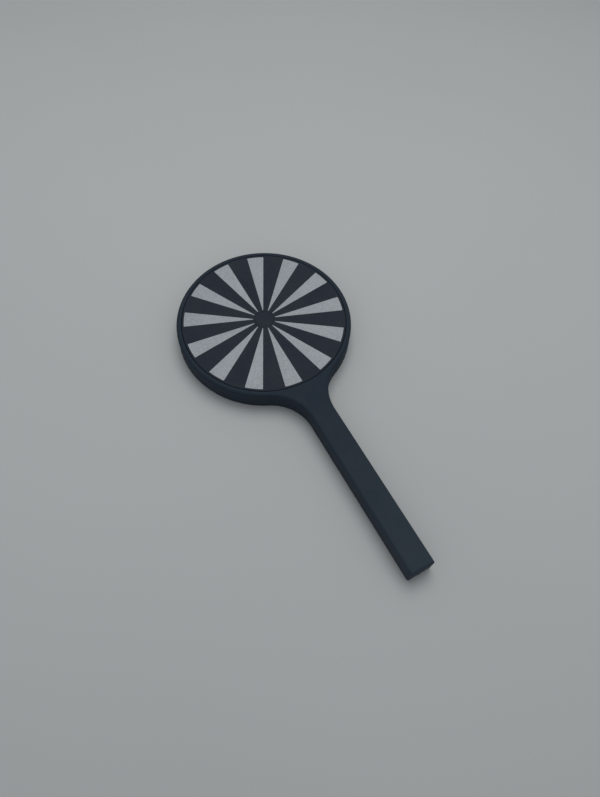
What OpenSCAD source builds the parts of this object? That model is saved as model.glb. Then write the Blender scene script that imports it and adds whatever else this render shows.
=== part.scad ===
/* A hand-held disc pinwheel. A round head on a straight handle holds a flat wheel,
   whose face has white sectors let into it. The wheel turns on a small ball bearing
   and a fixed axle pin, between the two screwed shells of the head and handle.
   All sizes are in millimetres. The wheel's axis is the Z axis, the back face lies
   on Z = 0 and the handle points along -Y. */

/* [Head] */
// Diameter of the round head
head_d = 80; // [78:0.5:84]
// Thickness of the head and of the handle
body_t = 9.4; // [9.2:0.1:10]
// Rounding of the front edge
front_edge_r = 1.4; // [0.8:0.1:1.6]
// Rounding of the back edge
back_edge_r = 0.7; // [0.5:0.1:1]

/* [Handle] */
// Width of the handle
handle_w = 11; // [10:0.5:14]
// Distance from the wheel's axis to the handle's end
handle_reach = 128.7; // [126:0.1:150]
// Radius of the neck between head and handle
neck_r = 20; // [14:1:24]

/* [Wheel] */
// Number of white sectors
sector_count = 13; // [9:1:15]
// Width of the fixed rim around the wheel
rim_w = 2.25; // [2.1:0.05:2.6]
// Gap between the wheel and the rim
wheel_gap = 0.25; // [0.2:0.05:0.4]
// Dark border of the wheel outside the sectors
border_w = 0.9; // [0.6:0.1:1.5]
// How far each side of a sector lies inside its radial line
sector_inset = 0.45; // [0.3:0.05:0.6]
// Thickness of the white sectors
sector_t = 1.2; // [0.8:0.1:1.4]
// Thickness of the wheel's plate
wheel_t = 2.6; // [2.4:0.1:2.8]
// Radius of the cap over the axle
cap_r = 4.4; // [4.2:0.1:4.6]

/* [Bearing] */
// Bore of the bearing, which is the axle's diameter
bearing_bore = 3; // [3:0.1:3.2]
// Outside diameter of the bearing
bearing_od = 10; // [10:0.1:10.4]
// Width of the bearing
bearing_w = 4; // [3.8:0.1:4]
// Number of balls
ball_count = 7; // [6:1:7]
// Diameter of each ball
ball_d = 1.56; // [1.5:0.01:1.58]

/* [Shells] */
// Wall thickness of both shells
wall = 1.6; // [1.4:0.1:1.8]
// Height of the seam between the shells
seam_z = 4.7; // [4.6:0.1:4.8]
// Distance of the three head screws from the wheel's axis
head_screw_r = 33.5; // [33:0.5:34]
// Distances of the two handle screws from the wheel's axis
handle_screw_near = 66; // [62:1:72]
handle_screw_far = 119; // [100:1:120]

/* [Hidden] */
$fn = 96;
eps = 0.01;
slip = 0.05;            // clearance of a glued or pressed piece in its pocket
moulded_gap = 0.02;     // clearance of the axle pin, which is moulded in

head_r = head_d / 2;
handle_hw = handle_w / 2;
// The neck's arcs touch the head and the handle's sides
neck_x = handle_hw + neck_r;
neck_y = -sqrt(pow(head_r + neck_r, 2) - pow(neck_x, 2));
neck_reach = head_r + neck_r;
neck_blend = 0.04;

window_r = head_r - rim_w;
wheel_r = window_r - wheel_gap;
wheel_bottom = body_t - wheel_t;
sector_angle = 360 / sector_count;
sector_half = sector_angle / 4;
// The tips stay clear of the cap and are at least 0.3 wide
sector_tip_r = max(cap_r + 0.6, (sector_inset + 0.15) / sin(sector_half));
sector_out_r = wheel_r - border_w;
first_sector = -90 - sector_half;   // its right side lies along the handle's axis

axle_r = bearing_bore / 2;
floor_top = wall;
boss_top = body_t - 6.4;             // keeps the bearing at one depth below the face
spacer_t = 0.4;
bearing_bottom = boss_top + spacer_t;
bearing_top = bearing_bottom + bearing_w;
bearing_mid = (bearing_bottom + bearing_top) / 2;
bearing_r = bearing_od / 2;
pitch_r = (axle_r + bearing_r) / 2;
ball_r = ball_d / 2;
race_r = ball_r + 0.05;             // section radius of both raceways
inner_land_r = pitch_r - 0.5;
outer_land_r = pitch_r + 0.5;
shield_t = 0.2;
shield_in = 0.15;                   // the shields lie this far inside the bearing's faces
shield_seat_r = outer_land_r + 0.45;

hub_r = bearing_r + 1.6;
hub_bore_r = 3.6;
cap_bottom = body_t - 0.9;          // the cap's top is flush with the wheel
clip_t = 0.5;
clip_bottom = bearing_top + slip;
clip_groove_r = axle_r - 0.35;
clip_r = 3;
axle_top = clip_bottom + clip_t + 0.3;
axle_bottom = 0.8;
axle_foot_r = 2.6;
axle_foot_t = 0.7;

shelf_top = wheel_bottom - 0.6;     // ledge of the front shell under the wheel
shelf_bottom = seam_z + 0.1;
shelf_in_r = 29.5;
tongue_h = 0.7;
tongue_out = wall / 2 + slip;       // insets of the tongue's two sides from the outline
partition_r = window_r + 1.55;      // wall between the head and the handle's hollow

screw_r = 1;
screw_head_r = 1.9;
screw_sink = 0.3;                   // the heads lie this far inside the back face
screw_head_t = screw_head_r - screw_r;
screw_top = shelf_bottom + 0.5;
screw_boss_r = 2.3;
screw_places = concat(
    [for (a = [90, 210, 330]) [head_screw_r * cos(a), head_screw_r * sin(a)]],
    [[0, -handle_screw_near], [0, -handle_screw_far]]);
rib_t = 1;
rib_places = [for (i = [1:4])
    -(handle_screw_near + i * (handle_screw_far - handle_screw_near) / 5)];

plastic_black = [0.13, 0.15, 0.17];
plastic_white = [0.86, 0.88, 0.88];
steel = [0.72, 0.73, 0.75];
brass = [0.72, 0.58, 0.32];

function two_digits(n) = n < 10 ? str("0", n) : str(n);
SECTORS = [for (i = [1:sector_count]) str("sector_", two_digits(i))];

// A flat ring between two radii and two heights
module ring(r_in, r_out, z_low, z_high) {
    translate([0, 0, z_low])
        difference() {
            cylinder(r = r_out, h = z_high - z_low);
            translate([0, 0, -eps])
                cylinder(r = r_in, h = z_high - z_low + 2 * eps);
        }
}

// Section of a slab out to a given reach, whose top corner is rounded in three facets
function corner(reach, h, r) =
    r == 0 ? [[reach, h]] : [for (a = [0:30:90]) [reach - r + r * cos(a), h - r + r * sin(a)]];

// A slab with the body's outline, from z = 0 up to h. It lies inset from the body's edge,
// and its top edge is rounded by r.
module body_slab(inset, h, r = 0) {
    head_slab(inset, h, r);
    neck_slab(inset, h, r);
    handle_slab(inset, h, r);
}

// The round part of the slab
module head_slab(inset, h, r) {
    rotate_extrude()
        polygon(concat([[0, 0], [head_r - inset, 0]], corner(head_r - inset, h, r), [[0, h]]));
}

// The part between the head and the handle. Its two hollow sides are cut slightly deep, so
// that they cross the head and the handle instead of only touching them.
module neck_slab(inset, h, r) {
    side_r = neck_r + inset + neck_blend;
    difference() {
        linear_extrude(h)
            polygon([[0, 0],
                     [neck_x, neck_y],
                     [-neck_x, neck_y]]);
        for (side = [-1, 1])
            translate([side * neck_x, neck_y, 0])
                rotate_extrude()
                    polygon(concat([[0, h + 1], [0, -1], [side_r, -1]],
                                   [for (p = corner(0, h, r)) [side_r - p[0], p[1]]],
                                   [[side_r + r, h + 1]]));
    }
}

// The straight handle with its square end. It starts a little way up the neck.
module handle_slab(inset, h, r) {
    start_y = neck_y + 2;
    end_y = -handle_reach + inset;
    half = corner(handle_hw - inset, h, r);
    difference() {
        translate([0, start_y, 0])
            rotate([90, 0, 0])
                linear_extrude(start_y - end_y)
                    polygon(concat([[0, 0], [handle_hw - inset, 0]], half,
                                   [for (i = [len(half) - 1:-1:0]) [-half[i][0], half[i][1]]],
                                   [[-handle_hw + inset, 0]]));
        if (r > 0)
            translate([-handle_w, end_y, 0])
                rotate([90, 0, 90])
                    linear_extrude(2 * handle_w)
                        polygon(concat([for (p = corner(0, h, r)) [-p[0], p[1]]],
                                       [[r, h + 1], [-1, h + 1], [-1, h - r]]));
    }
}

// A wall that follows the body's outline between two insets
module outline_wall(inset_out, inset_in, h) {
    difference() {
        body_slab(inset_out, h);
        translate([0, 0, -eps])
            body_slab(inset_in, h + 2 * eps);
    }
}

module at_screws() {
    for (p = screw_places)
        translate([p[0], p[1], 0])
            children();
}

// Front half of the housing, with the round window that the wheel turns in
module front_shell() {
    color(plastic_black) {
        difference() {
            translate([0, 0, seam_z])
                body_slab(0, body_t - seam_z, front_edge_r);
            translate([0, 0, shelf_top])
                cylinder(r = window_r, h = body_t);
            translate([0, 0, seam_z - eps])
                cylinder(r = shelf_in_r, h = body_t);
            // hollow of the neck and handle
            translate([0, 0, seam_z - eps])
                difference() {
                    body_slab(wall, body_t - wall - seam_z + eps);
                    translate([0, 0, -1])
                        cylinder(r = partition_r, h = body_t);
                }
            // groove for the rear shell's tongue
            translate([0, 0, seam_z - eps])
                outline_wall(tongue_out - slip, wall + slip, tongue_h + 0.1 + eps);
            translate([0, 0, seam_z - 1])
                at_screws()
                    cylinder(r = screw_r, h = screw_top + 0.2 - seam_z + 1);
        }
        for (i = [0:len(screw_places) - 1])
            translate([screw_places[i][0], screw_places[i][1], 0])
                ring(screw_r, screw_boss_r, floor_top + 0.05,
                     i < 3 ? shelf_bottom + 0.4 : body_t - wall + 0.2);
    }
}

// Back half of the housing, with the boss that holds the axle
module rear_shell() {
    color(plastic_black)
        difference() {
            union() {
                difference() {
                    translate([0, 0, seam_z])
                        mirror([0, 0, 1])
                            body_slab(0, seam_z, back_edge_r);
                    translate([0, 0, floor_top])
                        body_slab(wall, seam_z);
                }
                // tongue
                translate([0, 0, seam_z - 0.5])
                    outline_wall(tongue_out, wall, 0.5 + tongue_h);
                cylinder(r = 4, h = boss_top);
                ring(12, 13, floor_top - 0.2, boss_top);
                for (a = [30:60:330])
                    rotate(a)
                        translate([3.8, -rib_t / 2, floor_top - 0.2])
                            cube([26, rib_t, boss_top - floor_top + 0.2]);
                for (y = rib_places)
                    translate([-handle_hw + wall / 2, y - rib_t / 2, floor_top - 0.2])
                        cube([handle_w - wall, rib_t, seam_z - floor_top]);
            }
            translate([0, 0, axle_bottom])
                cylinder(r = axle_r + moulded_gap, h = boss_top);
            translate([0, 0, axle_bottom - moulded_gap])
                cylinder(r = axle_foot_r + moulded_gap, h = axle_foot_t + 2 * moulded_gap);
            at_screws() {
                translate([0, 0, -eps])
                    cylinder(r = screw_r + 0.1, h = floor_top + 1);
                translate([0, 0, -eps])
                    cylinder(r = screw_head_r + 0.1, h = screw_sink + eps);
                translate([0, 0, screw_sink])
                    cylinder(r1 = screw_head_r + 0.1, r2 = screw_r + 0.1, h = screw_head_t);
            }
        }
}

// Five countersunk screws that hold the shells together
module shell_screws() {
    color(steel)
        at_screws()
            difference() {
                union() {
                    translate([0, 0, screw_sink])
                        cylinder(r1 = screw_head_r, r2 = screw_r - slip, h = screw_head_t);
                    translate([0, 0, screw_sink + screw_head_t - eps])
                        cylinder(r = screw_r - slip, h = screw_top - screw_sink - screw_head_t);
                }
                for (a = [0, 90])
                    rotate(a)
                        translate([-1.1, -0.2, 0])
                            cube([2.2, 0.4, screw_sink + 0.55]);
            }
}

// Fixed steel pin, whose foot is moulded into the rear shell, with a groove for the clip
module axle_pin() {
    tip_chamfer = 0.2;
    color(steel)
        rotate_extrude()
            polygon([[0, axle_bottom],
                     [axle_foot_r, axle_bottom],
                     [axle_foot_r, axle_bottom + axle_foot_t],
                     [axle_r, axle_bottom + axle_foot_t],
                     [axle_r, clip_bottom - 0.02],
                     [clip_groove_r, clip_bottom - 0.02],
                     [clip_groove_r, clip_bottom + clip_t + 0.03],
                     [axle_r, clip_bottom + clip_t + 0.03],
                     [axle_r, axle_top - tip_chamfer],
                     [axle_r - tip_chamfer, axle_top],
                     [0, axle_top]]);
}

// Thin ring that keeps the bearing clear of the boss
module axle_spacer() {
    color(brass)
        ring(axle_r + 0.02, inner_land_r - 0.2, boss_top, bearing_bottom);
}

// Spring clip in the axle's groove: an open ring with three inner lugs
module retaining_clip() {
    clip_in_r = axle_r + 0.35;
    color(steel)
        translate([0, 0, clip_bottom])
            linear_extrude(clip_t)
                difference() {
                    union() {
                        difference() {
                            circle(r = clip_r);
                            circle(r = clip_in_r);
                        }
                        for (a = [0, 120, 240])
                            rotate(a)
                                translate([clip_groove_r + 0.02, -0.5])
                                    square([clip_r - clip_groove_r - 0.5, 1]);
                    }
                    rotate(150)
                        square([clip_r + 1, clip_r + 1]);
                }
}

// Plan of one sector about the +X axis, grown by the given amount on every side
module sector_plan(grow) {
    inset = sector_inset - grow;
    tip = sector_tip_r - grow;
    far = sector_out_r + 2;
    half_at_tip = tip * tan(sector_half) - inset / cos(sector_half);
    half_at_far = far * tan(sector_half) - inset / cos(sector_half);
    intersection() {
        polygon([[tip, -half_at_tip], [far, -half_at_far],
                 [far, half_at_far], [tip, half_at_tip]]);
        circle(r = sector_out_r + grow);
    }
}

// White sector number n, counted clockwise from the handle
module sector(n) {
    color(plastic_white)
        rotate(first_sector - (n - 1) * sector_angle)
            translate([0, 0, body_t - sector_t])
                linear_extrude(sector_t)
                    sector_plan(0);
}

// Dark wheel: a plate with a pocket for each sector, and a hub that holds the bearing
module wheel_disc() {
    chamfer = 0.15;
    color(plastic_black)
        difference() {
            rotate_extrude()
                polygon([[hub_bore_r, bearing_top],
                         [hub_bore_r, cap_bottom],
                         [cap_r, cap_bottom],
                         [cap_r, body_t],
                         [wheel_r - chamfer, body_t],
                         [wheel_r, body_t - chamfer],
                         [wheel_r, wheel_bottom],
                         [hub_r, wheel_bottom],
                         [hub_r, bearing_bottom],
                         [bearing_r, bearing_bottom],
                         [bearing_r, bearing_top]]);
            for (i = [0:sector_count - 1])
                rotate(first_sector - i * sector_angle)
                    translate([0, 0, body_t - sector_t])
                        linear_extrude(sector_t + 1)
                            sector_plan(slip);
        }
}

// Cap pressed into the wheel over the axle's end
module hub_cap() {
    color(plastic_black)
        translate([0, 0, cap_bottom])
            rotate_extrude()
                polygon([[0, 0], [cap_r - slip, 0], [cap_r - slip, 0.82],
                         [cap_r - slip - 0.08, 0.9], [0, 0.9]]);
}

// Section of one bearing ring with its raceway cut out
module race_section(r_in, r_out) {
    difference() {
        translate([r_in, -bearing_w / 2])
            square([r_out - r_in, bearing_w]);
        translate([pitch_r, 0])
            circle(r = race_r);
    }
}

module bearing_outer_ring() {
    color(steel)
        translate([0, 0, bearing_mid])
            difference() {
                rotate_extrude()
                    race_section(outer_land_r, bearing_r);
                for (side = [0, 1])
                    mirror([0, 0, side])
                        translate([0, 0, bearing_w / 2 - shield_in - shield_t])
                            cylinder(r = shield_seat_r, h = 2);
            }
}

module bearing_inner_ring() {
    color(steel)
        translate([0, 0, bearing_mid])
            rotate_extrude()
                race_section(axle_r + 0.01, inner_land_r);
}

// One of the two pressed shields, which turn with the outer ring
module shield(z_low) {
    color(steel)
        ring(inner_land_r + 0.1, shield_seat_r, z_low, z_low + shield_t);
}

// Places of the balls around the axle
module at_balls() {
    for (i = [0:ball_count - 1])
        rotate(i * 360 / ball_count)
            translate([pitch_r, 0, bearing_mid])
                children();
}

module bearing_cage() {
    cage_half_t = ball_r + 0.35;
    color(brass)
        difference() {
            ring(pitch_r - 0.3, pitch_r + 0.3, bearing_mid - cage_half_t, bearing_mid + cage_half_t);
            at_balls()
                sphere(r = race_r);
        }
}

module bearing_balls() {
    color(steel)
        at_balls()
            sphere(r = ball_r);
}

front_shell();
rear_shell();
shell_screws();
axle_pin();
axle_spacer();
retaining_clip();
wheel_disc();
hub_cap();
bearing_outer_ring();
bearing_inner_ring();
shield(bearing_top - shield_in - shield_t);  // bearing_front_shield
shield(bearing_bottom + shield_in);  // bearing_rear_shield
bearing_cage();
bearing_balls();
for (n = [1:sector_count])
    sector(n);
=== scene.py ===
"""Looks of the hand-held disc pinwheel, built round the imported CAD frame. Lengths are in
millimetres until a mesh is made. The wheel's axis is the Z axis, the back face lies on
Z = 0 and the handle points along -Y."""

import math

import bmesh
import bpy
from mathutils import Matrix, Vector
from mathutils.geometry import tessellate_polygon

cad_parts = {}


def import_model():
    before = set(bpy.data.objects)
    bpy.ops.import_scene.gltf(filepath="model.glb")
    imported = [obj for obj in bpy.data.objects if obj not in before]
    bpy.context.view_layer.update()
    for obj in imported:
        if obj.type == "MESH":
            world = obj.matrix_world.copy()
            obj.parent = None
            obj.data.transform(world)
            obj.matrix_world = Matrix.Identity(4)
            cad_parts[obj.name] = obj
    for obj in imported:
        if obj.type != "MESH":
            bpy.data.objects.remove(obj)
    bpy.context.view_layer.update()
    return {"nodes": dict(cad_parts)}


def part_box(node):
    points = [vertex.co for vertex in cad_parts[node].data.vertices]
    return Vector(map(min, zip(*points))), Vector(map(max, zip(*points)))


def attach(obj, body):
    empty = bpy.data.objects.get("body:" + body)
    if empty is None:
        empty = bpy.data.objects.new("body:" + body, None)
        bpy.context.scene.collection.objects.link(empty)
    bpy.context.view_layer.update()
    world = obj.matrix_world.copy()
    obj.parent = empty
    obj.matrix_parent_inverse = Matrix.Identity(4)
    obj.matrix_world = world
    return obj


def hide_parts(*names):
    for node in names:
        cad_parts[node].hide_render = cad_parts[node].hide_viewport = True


MM = 0.001
TAU = 2 * math.pi

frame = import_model()


# ---------------------------------------------------------------- sizes from the CAD nodes


def low(node):
    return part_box(node)[0] / MM


def high(node):
    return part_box(node)[1] / MM


HEAD_R = high("front_shell").y
TOP = high("front_shell").z
HANDLE_END = low("front_shell").y
WHEEL_R = high("wheel_disc").x
CAP_R = high("hub_cap").x
CAP_BOTTOM = low("hub_cap").z
SECTOR_BOTTOM = low("sector_01").z
BEARING_R = high("bearing_outer_ring").x
BEARING_BOTTOM = low("bearing_outer_ring").z
BEARING_TOP = high("bearing_outer_ring").z

# Sizes that no node's box gives
SEAM = 4.7
HANDLE_HALF = 5.5
HANDLE_CORNER = 0.7
NECK_R = 20.0
NECK_X = HANDLE_HALF + NECK_R
NECK_Y = -math.sqrt((HEAD_R + NECK_R) ** 2 - NECK_X**2)
NECK_ANGLE = math.atan2(NECK_Y, NECK_X)
WALL = 1.6
FRONT_EDGE = 1.4
BACK_EDGE = 0.7
PARTING = 0.1  # half the width and the depth of the parting line's groove
FLAT_STEP = 0.12  # ring of flat face kept beside each rounded edge

WHEEL_GAP = 0.25
WHEEL_T = 2.6
WINDOW_R = WHEEL_R + WHEEL_GAP
WHEEL_BOTTOM = TOP - WHEEL_T
SHELF_TOP = WHEEL_BOTTOM - 0.6
SHELF_IN_R = 29.5
PARTITION_R = WINDOW_R + 1.55
HUB_R = BEARING_R + 1.6
HUB_BORE_R = 3.6

AXLE_R = 1.5
AXLE_FOOT_R = 2.6
AXLE_FOOT_BOTTOM, AXLE_FOOT_TOP = 0.8, 1.5
BOSS_R = 4.0
BOSS_TOP = TOP - 6.4
RIB_REACH, RIB_LENGTH, RIB_T = 16.8, 26, 1  # middle, length and thickness of the floor's ribs

SCREW_SINK = 0.3
SCREW_RECESS_R = 2.0
SCREW_HOLE_R = 1.1
SCREW_CONE_TOP = 1.2
SCREW_BOSS_R = 2.3
SCREW_BORE_R = 1.0
HEAD_SCREW_R = 33.5
HEAD_SCREWS = [
    (HEAD_SCREW_R * math.cos(math.radians(a)), HEAD_SCREW_R * math.sin(math.radians(a)))
    for a in (90, 210, 330)
]
HANDLE_SCREWS = [(0.0, -66.0), (0.0, -119.0)]
SCREWS = HEAD_SCREWS + HANDLE_SCREWS

SECTOR_COUNT = 13
SECTOR_HALF = TAU / SECTOR_COUNT / 4
SECTOR_INSET = 0.45
SECTOR_TIP_R = 5.0
SECTOR_OUT_R = WHEEL_R - 0.9
SECTOR_CORNER = 0.25
POCKET_GAP = 0.05

# Points round a full circle
FINE, MEDIUM, COARSE, BORE = 192, 96, 48, 32


# ---------------------------------------------------------------- mesh building


class Shape:
    """Vertices and faces of one closed piece. A ring is a list of vertex numbers."""

    def __init__(self):
        self.points = []
        self.faces = []

    def ring(self, outline, z):
        start = len(self.points)
        self.points += [(x, y, z) for x, y in outline]
        return list(range(start, len(self.points)))

    def strip(self, a, b):
        """Faces between two closed rings with the same number of vertices."""
        n = len(a)
        for i in range(n):
            j = (i + 1) % n
            self.faces.append((a[i], a[j], b[j], b[i]))

    def sweep(self, last, outlines):
        """Rings at each (outline, z), joined in order from an earlier ring on."""
        for outline, z in outlines:
            new = self.ring(outline, z)
            self.strip(last, new)
            last = new
        return last

    def cap(self, outer, holes=()):
        """Fills a flat ring, leaving the holes open."""
        loops = [outer, *holes]
        flat = [i for loop in loops for i in loop]
        lines = [[Vector(self.points[i]) for i in loop] for loop in loops]
        for tri in tessellate_polygon(lines):
            self.faces.append(tuple(flat[i] for i in tri))

    def box(self, centre, size, angle):
        """A closed block, turned about Z through the origin by angle."""
        turn = Matrix.Rotation(angle, 3, "Z")
        start = len(self.points)
        for sx, sy, sz in [(x, y, z) for z in (-1, 1) for y in (-1, 1) for x in (-1, 1)]:
            corner = Vector([c + s * d / 2 for c, s, d in zip(centre, (sx, sy, sz), size)])
            self.points.append(tuple(turn @ corner))
        ends = (0, 2, 3, 1), (4, 5, 7, 6)
        sides = (0, 1, 5, 4), (2, 6, 7, 3), (0, 4, 6, 2), (1, 3, 7, 5)
        for quad in ends + sides:
            self.faces.append(tuple(start + i for i in quad))

    def made(self, name, material, body, nodes, sharp=32.0):
        """Makes the finished object, riding on its body and standing for its CAD nodes."""
        mesh = bpy.data.meshes.new(name)
        mesh.from_pydata([Vector(p) * MM for p in self.points], [], self.faces)
        bm = bmesh.new()
        bm.from_mesh(mesh)
        bmesh.ops.remove_doubles(bm, verts=bm.verts, dist=1e-7)
        bmesh.ops.dissolve_degenerate(bm, edges=bm.edges, dist=1e-8)
        bmesh.ops.recalc_face_normals(bm, faces=bm.faces)
        for face in bm.faces:
            face.smooth = True
        for edge in bm.edges:
            joined = len(edge.link_faces) == 2
            edge.smooth = joined and edge.calc_face_angle(0.0) < math.radians(sharp)
        bm.to_mesh(mesh)
        bm.free()
        piece = bpy.data.objects.new(name, mesh)
        bpy.context.scene.collection.objects.link(piece)
        piece.data.materials.append(material)
        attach(piece, body)
        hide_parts(*nodes)


def arc(cx, cy, r, start, end, steps):
    angles = [start + (end - start) * i / steps for i in range(steps + 1)]
    return [(cx + r * math.cos(a), cy + r * math.sin(a)) for a in angles]


def circle(r, cx=0.0, cy=0.0, count=FINE):
    return arc(cx, cy, r, 0, TAU, count)[:-1]


def both_sides(right):
    """A closed outline from its right half, which starts and ends on the Y axis."""
    return right + [(-x, y) for x, y in reversed(right[1:-1])]


def outline(inset):
    """The body's outline, inset from its edge, always with the same number of points."""
    corner = HANDLE_CORNER
    half = HANDLE_HALF - inset
    end = HANDLE_END + inset
    right = arc(0, 0, HEAD_R - inset, math.pi / 2, NECK_ANGLE, 132)
    right += arc(NECK_X, NECK_Y, NECK_R + inset, NECK_ANGLE + math.pi, math.pi, 30)[1:]
    right += [(half, NECK_Y + (end + corner - NECK_Y) * i / 24) for i in range(1, 24)]
    if inset < corner:
        r = corner - inset
        right += arc(half - r, end + r, r, 0, -math.pi / 2, 6)
    else:
        right += [(half, end)] * 7
    right.append((0, end))
    right[0] = (0, HEAD_R - inset)
    return both_sides(right)


def rounding(inset, z, r, up, steps=8):
    """(inset, z) pairs round an edge of radius r, from the wall to the flat face at height z.
    The face looks up where up is 1 and down where it is -1."""
    return [
        (inset + r - r * math.cos(a), z + up * (r * math.sin(a) - r))
        for a in [math.pi / 2 * i / steps for i in range(steps + 1)]
    ]


def swept(pairs):
    return [(outline(inset), z) for inset, z in pairs]


def turned(pairs, cx=0.0, cy=0.0, count=FINE):
    return [(circle(r, cx, cy, count), z) for r, z in pairs]


def soft_mouth(r, lip, out):
    """(radius, z) pairs down the rounded top edge of a round wall of radius r. The lip widens
    a hole where out is 1 and narrows a disc where it is -1."""
    angles = [math.pi / 2 * i / 4 for i in range(5)]
    return [(r + out * lip * (1 - math.sin(a)), TOP - lip * (1 - math.cos(a))) for a in angles]


# ---------------------------------------------------------------- materials


class Nodes:
    """Short calls for a material's node tree."""

    def __init__(self, name):
        self.material = bpy.data.materials.new(name)
        self.material.use_nodes = True
        self.tree = self.material.node_tree
        self.shader = self.tree.nodes["Principled BSDF"]
        self.place = self.add("ShaderNodeTexCoord").outputs["Object"]

    def add(self, kind, **settings):
        node = self.tree.nodes.new(kind)
        for key, value in settings.items():
            setattr(node, key, value)
        return node

    def link(self, a, b):
        self.tree.links.new(a, b)

    def noise(self, size_mm, detail=2.0, rough=0.5, stretch=None):
        """Noise whose features are about size_mm across, longer along an axis with stretch."""
        node = self.add("ShaderNodeTexNoise")
        node.inputs["Scale"].default_value = 1 / (size_mm * MM)
        node.inputs["Detail"].default_value = detail
        node.inputs["Roughness"].default_value = rough
        place = self.place
        if stretch:
            mapping = self.add("ShaderNodeMapping")
            mapping.inputs["Scale"].default_value = stretch
            self.link(place, mapping.inputs["Vector"])
            place = mapping.outputs["Vector"]
        self.link(place, node.inputs["Vector"])
        return node.outputs["Fac"]

    def ramp(self, source, low_in, high_in, low_out, high_out):
        node = self.add("ShaderNodeMapRange")
        self.link(source, node.inputs["Value"])
        for key, value in (("From Min", low_in), ("From Max", high_in),
                           ("To Min", low_out), ("To Max", high_out)):
            node.inputs[key].default_value = value
        return node.outputs["Result"]

    def blend(self, factor, dark, light):
        node = self.add("ShaderNodeMix", data_type="RGBA")
        self.link(factor, node.inputs["Factor"])
        for key, value in (("A", dark), ("B", light)):
            socket = [s for s in node.inputs if s.name == key and s.type == "RGBA"][0]
            if isinstance(value, tuple):
                socket.default_value = (*value, 1)
            else:
                self.link(value, socket)
        return [s for s in node.outputs if s.type == "RGBA"][0]

    def worn_edge(self, radius_mm, low_in, high_in):
        """1 on a piece's edges and in its corners, 0 on its flats."""
        rounded = self.add("ShaderNodeBevel", samples=6)
        rounded.inputs["Radius"].default_value = radius_mm * MM
        true = self.add("ShaderNodeNewGeometry").outputs["Normal"]
        dot = self.add("ShaderNodeVectorMath", operation="DOT_PRODUCT")
        self.link(rounded.outputs["Normal"], dot.inputs[0])
        self.link(true, dot.inputs[1])
        return self.ramp(dot.outputs["Value"], high_in, low_in, 0, 1)

    def bump(self, height, depth_mm, strength=1.0, under=None):
        node = self.add("ShaderNodeBump")
        node.inputs["Distance"].default_value = depth_mm * MM
        node.inputs["Strength"].default_value = strength
        self.link(height, node.inputs["Height"])
        if under:
            self.link(under, node.inputs["Normal"])
        return node.outputs["Normal"]


def moulded(name, dark, light, edge, rough, grain_mm, depth_mm, gloss=0.3, painted_end_light=None):
    """Moulded plastic: a fine eroded grain, flecks, slow changes of tone and shine, and paler
    edges. Towards the handle's end it is painted a paler colour: painted light falling there."""
    n = Nodes(name)
    grain = n.noise(grain_mm, 3.0, 0.6)
    cloud = n.noise(14, 3.0, 0.55)
    fleck = n.noise(0.8, 2.0, 0.6)
    glint = n.noise(0.6, 2.0, 0.7)
    tint = n.add("ShaderNodeMath", operation="ADD")
    n.link(n.ramp(cloud, 0.3, 0.7, 0, 0.4), tint.inputs[0])
    n.link(n.ramp(fleck, 0.38, 0.62, 0, 0.6), tint.inputs[1])
    tone = n.blend(tint.outputs["Value"], dark, light)
    if painted_end_light:
        # Painted light: the shell is painted paler from the neck towards the handle's end.
        along = n.add("ShaderNodeSeparateXYZ")
        n.link(n.place, along.inputs["Vector"])
        neck, end = -45 * MM, -125 * MM
        tone = n.blend(n.ramp(along.outputs["Y"], neck, end, 0, 0.7), tone, painted_end_light)
    worn = n.worn_edge(0.5, 0.80, 0.99)
    tone = n.blend(n.ramp(worn, 0, 1, 0, 0.55), tone, edge)
    n.link(tone, n.shader.inputs["Base Color"])
    shine = n.add("ShaderNodeMath", operation="ADD")
    n.link(n.ramp(cloud, 0.3, 0.7, rough - 0.05, rough + 0.05), shine.inputs[0])
    n.link(n.ramp(glint, 0.35, 0.7, -0.04, 0.04), shine.inputs[1])
    n.link(shine.outputs["Value"], n.shader.inputs["Roughness"])
    waves = n.bump(n.noise(9, 1.0, 0.4), 0.012)
    n.link(n.bump(grain, depth_mm, 0.8, waves), n.shader.inputs["Normal"])
    n.shader.inputs["Specular IOR Level"].default_value = gloss
    return n.material


def metal(name, dark, light, rough, stretch, scratch_mm=0.25):
    """Bare metal with fine tool marks along one direction and a few duller patches."""
    n = Nodes(name)
    marks = n.noise(scratch_mm, 4.0, 0.65, stretch)
    patches = n.noise(2.5, 3.0, 0.6)
    n.link(n.blend(n.ramp(patches, 0.3, 0.7, 0, 1), dark, light), n.shader.inputs["Base Color"])
    n.link(n.ramp(marks, 0.3, 0.7, rough - 0.08, rough + 0.1), n.shader.inputs["Roughness"])
    n.link(n.bump(marks, 0.004, 0.5), n.shader.inputs["Normal"])
    n.shader.inputs["Metallic"].default_value = 1.0
    return n.material


SHELL_BLACK = moulded(
    "shell_black",
    dark=(0.008, 0.018, 0.033), light=(0.0115, 0.0235, 0.0405), edge=(0.012, 0.024, 0.042),
    rough=0.78, grain_mm=0.28, depth_mm=0.018, gloss=0.375, painted_end_light=(0.025, 0.040, 0.057),
)
WHEEL_BLACK = moulded(
    "wheel_black",
    dark=(0.003, 0.009, 0.021), light=(0.009, 0.0165, 0.032), edge=(0.010, 0.018, 0.033),
    rough=0.64, grain_mm=0.24, depth_mm=0.024,
)
SECTOR_WHITE = moulded(
    "sector_white",
    dark=(0.320, 0.348, 0.379), light=(0.443, 0.472, 0.509), edge=(0.46, 0.49, 0.53),
    rough=0.50, grain_mm=0.35, depth_mm=0.012,
)
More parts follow.
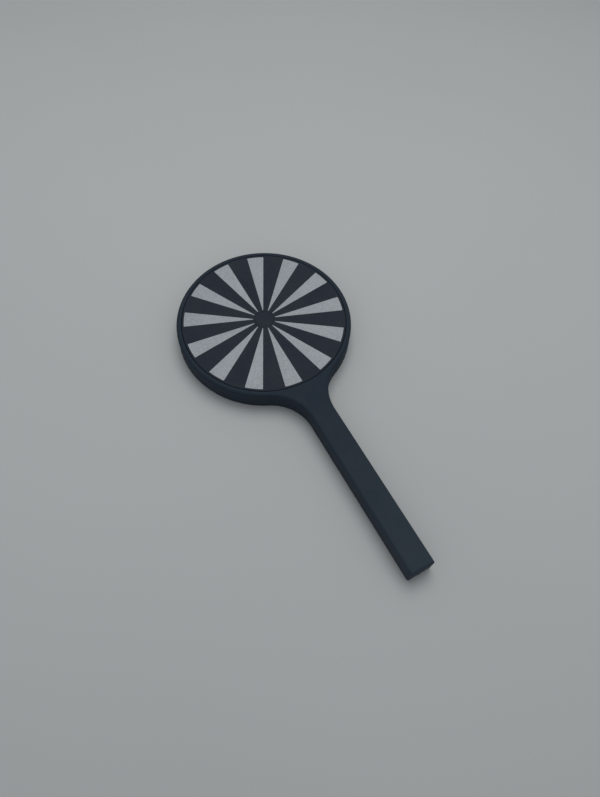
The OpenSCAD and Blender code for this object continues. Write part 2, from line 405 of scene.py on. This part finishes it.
# Which way a metal's tool marks run
ALONG_Z, ALONG_Y, EVEN = (1, 1, 0.08), (1, 0.08, 1), (1, 1, 1)
SCREW_STEEL = metal("screw_steel", (0.42, 0.43, 0.45), (0.56, 0.57, 0.59), 0.34, ALONG_Y)
AXLE_STEEL = metal("axle_steel", (0.50, 0.51, 0.53), (0.62, 0.63, 0.65), 0.22, ALONG_Z)
SPRING_STEEL = metal("spring_steel", (0.10, 0.095, 0.09), (0.16, 0.15, 0.145), 0.36, EVEN)
BEARING_STEEL = metal("bearing_steel", (0.52, 0.53, 0.55), (0.64, 0.65, 0.67), 0.20, EVEN, 0.15)
SHIELD_STEEL = metal("shield_steel", (0.44, 0.45, 0.47), (0.54, 0.55, 0.57), 0.30, EVEN)
BALL_CHROME = metal("ball_chrome", (0.62, 0.62, 0.64), (0.70, 0.70, 0.72), 0.10, EVEN, 0.4)
CAGE_BRASS = metal("cage_brass", (0.46, 0.30, 0.09), (0.56, 0.38, 0.13), 0.30, EVEN)
SPACER_BRASS = metal("spacer_brass", (0.48, 0.32, 0.10), (0.58, 0.40, 0.14), 0.26, EVEN)


# ---------------------------------------------------------------- front shell


def handle_hollow(inset):
    """Outline of the hollow in the neck and the handle, which stops at the head's partition."""
    cx, cy, r = NECK_X, NECK_Y, NECK_R + inset
    reach = HEAD_R + NECK_R
    turn = math.acos((reach**2 + r**2 - PARTITION_R**2) / (2 * reach * r))
    right = arc(cx, cy, r, NECK_ANGLE + math.pi + turn, math.pi, 16)
    corner_angle = math.atan2(right[0][1], right[0][0])
    floor = arc(0, 0, PARTITION_R, -math.pi / 2, corner_angle, 14)
    end = HANDLE_END + inset
    half = HANDLE_HALF - inset
    side = [(half, NECK_Y + (end - NECK_Y) * i / 12) for i in range(1, 13)]
    return both_sides(floor + right[1:] + side + [(0, end)])


def front_shell():
    s = Shape()
    foot = s.ring(outline(PARTING), SEAM)
    wall = [(0, SEAM + PARTING), (0, SEAM + 1)]
    wall += rounding(0, TOP, FRONT_EDGE, 1) + [(FRONT_EDGE + FLAT_STEP, TOP)]
    top = s.sweep(foot, swept(wall))
    lip = 0.1
    mouth = s.ring(circle(WINDOW_R + 2 * lip), TOP)
    s.cap(top, [mouth])
    shelf = [(WINDOW_R, SHELF_TOP), (SHELF_IN_R, SHELF_TOP), (SHELF_IN_R, SEAM)]
    shelf_foot = s.sweep(mouth, turned(soft_mouth(WINDOW_R, lip, 1) + shelf))
    hollow = s.ring(handle_hollow(WALL), SEAM)
    head_bosses = [s.ring(circle(SCREW_BOSS_R, x, y, BORE), SEAM) for x, y in HEAD_SCREWS]
    s.cap(foot, [shelf_foot, hollow, *head_bosses])
    ceiling = s.sweep(hollow, [(handle_hollow(WALL), TOP - WALL)])
    handle_bosses = [
        s.ring(circle(SCREW_BOSS_R, x, y, BORE), TOP - WALL) for x, y in HANDLE_SCREWS
    ]
    s.cap(ceiling, handle_bosses)
    boss_foot = WALL + 0.05
    bore = [(SCREW_BOSS_R, boss_foot), (SCREW_BORE_R, boss_foot), (SCREW_BORE_R, SHELF_TOP - 0.3)]
    for ring, (x, y) in zip(head_bosses + handle_bosses, SCREWS):
        s.cap(s.sweep(ring, turned(bore, x, y, BORE)))
    s.made("front_shell_skin", SHELL_BLACK, "housing", ["front_shell"])


# ---------------------------------------------------------------- rear shell


def rear_shell():
    s = Shape()
    rim = s.ring(outline(PARTING), SEAM)
    wall = [(0, SEAM - PARTING), (0, SEAM - 1)]
    wall += rounding(0, 0, BACK_EDGE, -1) + [(BACK_EDGE + FLAT_STEP, 0)]
    back = s.sweep(rim, swept(wall))
    mouth_edge, boss_edge = 0.12, 0.15
    mouths = [s.ring(circle(SCREW_RECESS_R + mouth_edge, x, y, COARSE), 0) for x, y in SCREWS]
    s.cap(back, mouths)
    recess = [(SCREW_RECESS_R, mouth_edge), (SCREW_RECESS_R, SCREW_SINK),
              (SCREW_HOLE_R, SCREW_CONE_TOP), (SCREW_HOLE_R, WALL)]
    floor = s.ring(outline(WALL), WALL)
    holes = [s.sweep(ring, turned(recess, x, y, COARSE)) for ring, (x, y) in zip(mouths, SCREWS)]
    boss = s.ring(circle(BOSS_R, count=COARSE), WALL)
    s.cap(floor, [*holes, boss])
    pin_hole = [(BOSS_R, BOSS_TOP - boss_edge), (BOSS_R - boss_edge, BOSS_TOP),
                (AXLE_R, BOSS_TOP), (AXLE_R, AXLE_FOOT_TOP),
                (AXLE_FOOT_R, AXLE_FOOT_TOP), (AXLE_FOOT_R, AXLE_FOOT_BOTTOM)]
    s.cap(s.sweep(boss, turned(pin_hole, count=COARSE)))
    inner = s.sweep(floor, swept([(WALL, SEAM)]))
    s.strip(inner, rim)
    rib_low, rib_high = WALL - 0.1, BOSS_TOP
    middle = (RIB_REACH, 0, (rib_low + rib_high) / 2)
    for a in range(30, 360, 60):
        s.box(middle, (RIB_LENGTH, RIB_T, rib_high - rib_low), math.radians(a))
    s.made("rear_shell_skin", SHELL_BLACK, "housing", ["rear_shell"])


# ---------------------------------------------------------------- wheel and sectors


def sector_loop(number, grow):
    """Outline of one sector with rounded corners, grown on every side. Number 1 is nearest the
    handle."""
    steps = 5
    inset = SECTOR_INSET - grow
    tip, out = SECTOR_TIP_R - grow, SECTOR_OUT_R + grow
    tan, cos = math.tan(SECTOR_HALF), math.cos(SECTOR_HALF)
    side = Vector((cos, math.sin(SECTOR_HALF)))
    inward = Vector((side.y, -side.x))
    r = SECTOR_CORNER + grow
    # The outer corner's centre lies r inside both the side line and the outer arc
    start = Vector((0, -inset / cos)) + inward * r
    back = start.dot(side)
    centre = start + side * (math.sqrt(back**2 - start.dot(start) + (out - r) ** 2) - back)
    a0 = math.atan2(-inward.y, -inward.x)
    a1 = math.atan2(centre.y, centre.x)
    outer = arc(centre.x, centre.y, r, a1, a0, steps)
    end = math.atan2(outer[0][1], outer[0][0])
    top_arc = arc(0, 0, out, -end, end, 16)[1:-1]
    half_tip = tip * tan - inset / cos
    rt = min(r, half_tip * 0.8)
    tip_centre = Vector((tip + rt, 0))
    tip_centre.y = tip_centre.x * tan - (inset + rt) / cos
    inner = arc(tip_centre.x, tip_centre.y, rt, a0, math.pi, steps)
    right = [(x, -y) for x, y in reversed(outer)]
    tip_right = [(x, -y) for x, y in reversed(inner)]
    loop = outer + inner + tip_right + right + top_arc
    turn = -math.pi / 2 - SECTOR_HALF - (number - 1) * TAU / SECTOR_COUNT
    c, sn = math.cos(turn), math.sin(turn)
    return [(x * c - y * sn, x * sn + y * c) for x, y in loop]


def wheel_disc():
    s = Shape()
    edge, lip, chamfer = 0.14, 0.05, 0.2
    rim = s.ring(circle(WHEEL_R - edge - 0.1), TOP)
    numbers = range(1, SECTOR_COUNT + 1)
    pockets = [s.ring(sector_loop(i, POCKET_GAP + lip), TOP) for i in numbers]
    cap_seat_r = CAP_R + POCKET_GAP
    bore = s.ring(circle(cap_seat_r + lip, count=MEDIUM), TOP)
    s.cap(rim, [*pockets, bore])
    for i, ring in zip(numbers, pockets):
        loop = sector_loop(i, POCKET_GAP)
        s.cap(s.sweep(ring, [(loop, TOP - lip), (loop, SECTOR_BOTTOM)]))
    under = [(WHEEL_R, WHEEL_BOTTOM + chamfer), (WHEEL_R - chamfer, WHEEL_BOTTOM),
             (HUB_R, WHEEL_BOTTOM), (HUB_R, BEARING_BOTTOM + chamfer),
             (HUB_R - chamfer, BEARING_BOTTOM), (BEARING_R, BEARING_BOTTOM),
             (BEARING_R, BEARING_TOP), (HUB_BORE_R, BEARING_TOP),
             (HUB_BORE_R, CAP_BOTTOM), (cap_seat_r, CAP_BOTTOM)]
    seat = s.sweep(rim, turned(soft_mouth(WHEEL_R, edge, -1) + under))
    throat = [(cap_seat_r, TOP - lip), (cap_seat_r, CAP_BOTTOM + 0.1), (cap_seat_r, CAP_BOTTOM)]
    foot = s.sweep(bore, turned(throat, count=MEDIUM))
    # The seat's ring has two points for each point of the bore's
    for i in range(MEDIUM):
        here, between, after = seat[2 * i], seat[2 * i + 1], seat[(2 * i + 2) % FINE]
        s.faces.append((foot[i], foot[(i + 1) % MEDIUM], after, between))
        s.faces.append((foot[i], between, here))
    s.made("wheel_disc_skin", WHEEL_BLACK, "wheel", ["wheel_disc"])


def sector(number):
    s = Shape()
    foot = s.ring(sector_loop(number, 0), SECTOR_BOTTOM)
    s.cap(foot)
    edge_r = 0.09
    edge = [(sector_loop(number, -inset), z) for inset, z in rounding(0, TOP, edge_r, 1, 3)]
    s.cap(s.sweep(foot, edge))
    node = f"sector_{number:02d}"
    s.made(node + "_inlay", SECTOR_WHITE, "wheel", [node], 40)


def hub_cap():
    s = Shape()
    foot = s.ring(circle(CAP_R, count=MEDIUM), CAP_BOTTOM)
    s.cap(foot)
    edge_r = 0.07
    edge = [(CAP_R - inset, z) for inset, z in rounding(0, TOP, edge_r, 1, 4)]
    s.cap(s.sweep(foot, turned(edge + [(CAP_R - edge_r - 0.03, TOP)], count=MEDIUM)))
    s.made("hub_cap_skin", WHEEL_BLACK, "wheel", ["hub_cap"])


front_shell()
rear_shell()
wheel_disc()
hub_cap()
for number in range(1, SECTOR_COUNT + 1):
    sector(number)

# ---------------------------------------------------------------- pieces kept from the CAD

KEPT = {
    "shell_screws": SCREW_STEEL,
    "axle_pin": AXLE_STEEL,
    "axle_spacer": SPACER_BRASS,
    "retaining_clip": SPRING_STEEL,
    "bearing_outer_ring": BEARING_STEEL,
    "bearing_inner_ring": BEARING_STEEL,
    "bearing_front_shield": SHIELD_STEEL,
    "bearing_rear_shield": SHIELD_STEEL,
    "bearing_cage": CAGE_BRASS,
    "bearing_balls": BALL_CHROME,
}
for node, material in KEPT.items():
    piece = frame["nodes"][node]
    piece.data.materials.clear()
    piece.data.materials.append(material)

# ---------------------------------------------------------------- floor, light and camera


def table_material():
    """Pale grey with a painted pool of light: lightest in an oval patch round the object, painted
    darker further out, and pale again far away.
    """
    n = Nodes("table_top")
    # Painted light: an oval pool of light round the object, with painted shade towards its rim.
    patch = n.add("ShaderNodeMapping", vector_type="TEXTURE")
    patch.inputs["Location"].default_value = (0.01, 0.027, 0)
    patch.inputs["Rotation"].default_value = (0, 0, -0.565)
    patch.inputs["Scale"].default_value = (1.39, 0.87, 1)
    n.link(n.place, patch.inputs["Vector"])
    square = n.add("ShaderNodeVectorMath", operation="DOT_PRODUCT")
    n.link(patch.outputs["Vector"], square.inputs[0])
    n.link(patch.outputs["Vector"], square.inputs[1])
    fall = n.add("ShaderNodeMath", operation="ADD")
    n.link(n.ramp(square.outputs["Value"], 0, 0.16, 0, 0.95), fall.inputs[0])
    n.link(n.ramp(n.noise(160, 2.0, 0.5), 0.35, 0.65, 0, 0.05), fall.inputs[1])
    tone = n.blend(fall.outputs["Value"], (0.560, 0.577, 0.585), (0.374, 0.385, 0.391))
    reach = n.add("ShaderNodeVectorMath", operation="LENGTH")
    n.link(patch.outputs["Vector"], reach.inputs[0])
    tone = n.blend(n.ramp(reach.outputs["Value"], 0.5, 2.0, 0, 1), tone, (0.88, 0.90, 0.91))
    n.link(tone, n.shader.inputs["Base Color"])
    speck = n.noise(0.5, 3.0, 0.6)
    n.link(n.bump(speck, 0.02, 0.5), n.shader.inputs["Normal"])
    n.shader.inputs["Roughness"].default_value = 0.75
    n.shader.inputs["Specular IOR Level"].default_value = 0.3
    return n.material


def table_top():
    """A plain surface, a hair below the back face so that the two never share a plane."""
    half, z = 4.0, -0.05 * MM
    corners = [(-half, -half, z), (half, -half, z), (half, half, z), (-half, half, z)]
    mesh = bpy.data.meshes.new("table")
    mesh.from_pydata(corners, [], [(0, 1, 2, 3)])
    piece = bpy.data.objects.new("table", mesh)
    bpy.context.scene.collection.objects.link(piece)
    mesh.materials.append(table_material())


def area_light(name, place, target, size, power, colour):
    data = bpy.data.lights.new(name, "AREA")
    data.shape = "DISK"
    data.size = size
    data.energy = power
    data.color = colour
    light = bpy.data.objects.new(name, data)
    light.location = place
    light.rotation_euler = (Vector(target) - Vector(place)).to_track_quat("-Z", "Y").to_euler()
    bpy.context.scene.collection.objects.link(light)


def world(colour, strength):
    scene_world = bpy.data.worlds.new("studio")
    bpy.context.scene.world = scene_world
    scene_world.use_nodes = True
    background = scene_world.node_tree.nodes["Background"]
    background.inputs["Color"].default_value = (*colour, 1)
    background.inputs["Strength"].default_value = strength


def camera():
    """Looks down at the head from the handle's left side, slightly rolled."""
    azimuth, pitch, roll = math.radians(32.37), math.radians(62.11), math.radians(3.58)
    data = bpy.data.cameras.new("camera")
    data.lens = 27.38
    eye = bpy.data.objects.new("camera", data)
    eye.location = Vector((-70.47, -146.0, TOP + 228.9)) * MM
    ahead = math.cos(pitch)
    look = Vector((math.sin(azimuth) * ahead, math.cos(azimuth) * ahead, -math.sin(pitch)))
    turn = look.to_track_quat("-Z", "Y").to_matrix()
    eye.rotation_euler = (turn @ Matrix.Rotation(roll, 3, "Z")).to_euler()
    bpy.context.scene.collection.objects.link(eye)
    bpy.context.scene.camera = eye


table_top()
world((0.93, 0.98, 1.0), 0.38)
area_light("key", (0.48, 0.56, 1.60), (0, 0, 0), 1.4, 11.3, (1.0, 0.98, 0.96))
camera()
bpy.context.scene.view_settings.view_transform = "Standard"
